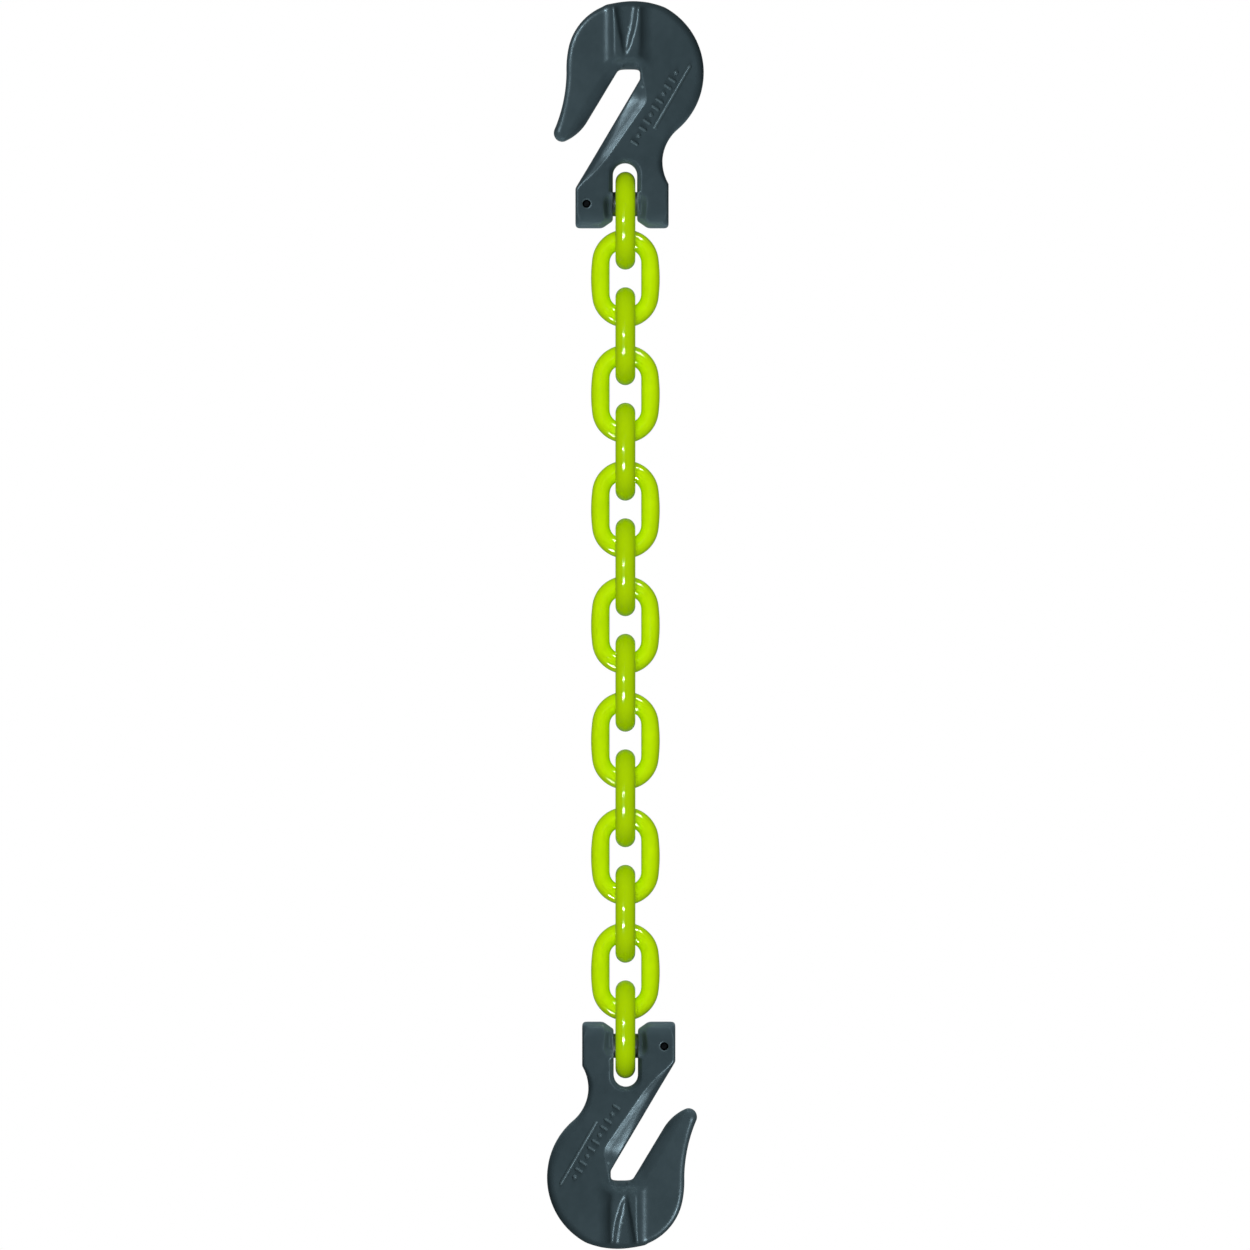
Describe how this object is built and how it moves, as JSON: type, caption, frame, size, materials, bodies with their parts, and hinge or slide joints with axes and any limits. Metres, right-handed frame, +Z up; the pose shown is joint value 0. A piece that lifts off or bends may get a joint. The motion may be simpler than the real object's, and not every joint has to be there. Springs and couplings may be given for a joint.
{
  "type": "load binder chain",
  "caption": "Short load binder chain: welded links with a clevis cradle grab hook pinned at each end, for shortening and tying down loads.",
  "frame": {"origin": "midway between the two load pins, which is the centre of the bounding box, in the middle plane of the hooks", "axes": "+Z up along the hanging chain towards the upper hook; +Y through the thickness of the hooks, away from the viewer; +X to the right, so the upper hook opens towards -X and the lower hook towards +X"},
  "size_m": [0.0802, 0.0352, 0.6388],
  "materials": {
    "chain_coat": "gloss fluorescent yellow-green powder coat",
    "hook_paint": "satin dark slate grey paint over a forging",
    "pin_steel": "blackened steel",
    "roll_pin_steel": "black spring steel"
  },
  "bodies": {
    "upper_hook": {"upper_hook": "hook_paint", "upper_load_pin": "pin_steel", "upper_roll_pin": "roll_pin_steel"},
    "link_01": {"link_01": "chain_coat"},
    "link_02": {"link_02": "chain_coat"},
    "link_03": {"link_03": "chain_coat"},
    "link_04": {"link_04": "chain_coat"},
    "link_05": {"link_05": "chain_coat"},
    "link_06": {"link_06": "chain_coat"},
    "link_07": {"link_07": "chain_coat"},
    "link_08": {"link_08": "chain_coat"},
    "link_09": {"link_09": "chain_coat"},
    "link_10": {"link_10": "chain_coat"},
    "link_11": {"link_11": "chain_coat"},
    "link_12": {"link_12": "chain_coat"},
    "link_13": {"link_13": "chain_coat"},
    "link_14": {"link_14": "chain_coat"},
    "link_15": {"link_15": "chain_coat"},
    "lower_hook": {"lower_hook": "hook_paint", "lower_load_pin": "pin_steel", "lower_roll_pin": "roll_pin_steel"}
  },
  "joints": [
    {"name": "link_01_swing", "type": "hinge", "parent": "upper_hook", "child": "link_01", "pos_m": [0, 0, 0.21565], "axis": [1, 0, 0], "range_deg": [-90, 90]},
    {"name": "link_02_swing", "type": "hinge", "parent": "link_01", "child": "link_02", "pos_m": [0, 0, 0.1872], "axis": [0, -1, 0], "range_deg": [-75, 75]},
    {"name": "link_03_swing", "type": "hinge", "parent": "link_02", "child": "link_03", "pos_m": [0, 0, 0.1576], "axis": [-1, 0, 0], "range_deg": [-90, 90]},
    {"name": "link_04_swing", "type": "hinge", "parent": "link_03", "child": "link_04", "pos_m": [0, 0, 0.128], "axis": [0, 1, 0], "range_deg": [-90, 90]},
    {"name": "link_05_swing", "type": "hinge", "parent": "link_04", "child": "link_05", "pos_m": [0, 0, 0.0984], "axis": [1, 0, 0], "range_deg": [-90, 90]},
    {"name": "link_06_swing", "type": "hinge", "parent": "link_05", "child": "link_06", "pos_m": [0, 0, 0.0688], "axis": [0, -1, 0], "range_deg": [-90, 90]},
    {"name": "link_07_swing", "type": "hinge", "parent": "link_06", "child": "link_07", "pos_m": [0, 0, 0.0392], "axis": [-1, 0, 0], "range_deg": [-90, 90]},
    {"name": "link_08_swing", "type": "hinge", "parent": "link_07", "child": "link_08", "pos_m": [0, 0, 0.0096], "axis": [0, 1, 0], "range_deg": [-90, 90]},
    {"name": "link_09_swing", "type": "hinge", "parent": "link_08", "child": "link_09", "pos_m": [0, 0, -0.02], "axis": [1, 0, 0], "range_deg": [-90, 90]},
    {"name": "link_10_swing", "type": "hinge", "parent": "link_09", "child": "link_10", "pos_m": [0, 0, -0.0496], "axis": [0, -1, 0], "range_deg": [-90, 90]},
    {"name": "link_11_swing", "type": "hinge", "parent": "link_10", "child": "link_11", "pos_m": [0, 0, -0.0792], "axis": [-1, 0, 0], "range_deg": [-90, 90]},
    {"name": "link_12_swing", "type": "hinge", "parent": "link_11", "child": "link_12", "pos_m": [0, 0, -0.1088], "axis": [0, 1, 0], "range_deg": [-90, 90]},
    {"name": "link_13_swing", "type": "hinge", "parent": "link_12", "child": "link_13", "pos_m": [0, 0, -0.1384], "axis": [1, 0, 0], "range_deg": [-90, 90]},
    {"name": "link_14_swing", "type": "hinge", "parent": "link_13", "child": "link_14", "pos_m": [0, 0, -0.168], "axis": [0, -1, 0], "range_deg": [-90, 90]},
    {"name": "link_15_swing", "type": "hinge", "parent": "link_14", "child": "link_15", "pos_m": [0, 0, -0.1976], "axis": [-1, 0, 0], "range_deg": [-90, 90]},
    {"name": "lower_hook_swing", "type": "hinge", "parent": "link_15", "child": "lower_hook", "pos_m": [0, 0, -0.21565], "axis": [1, 0, 0], "range_deg": [-90, 90]}
  ]
}
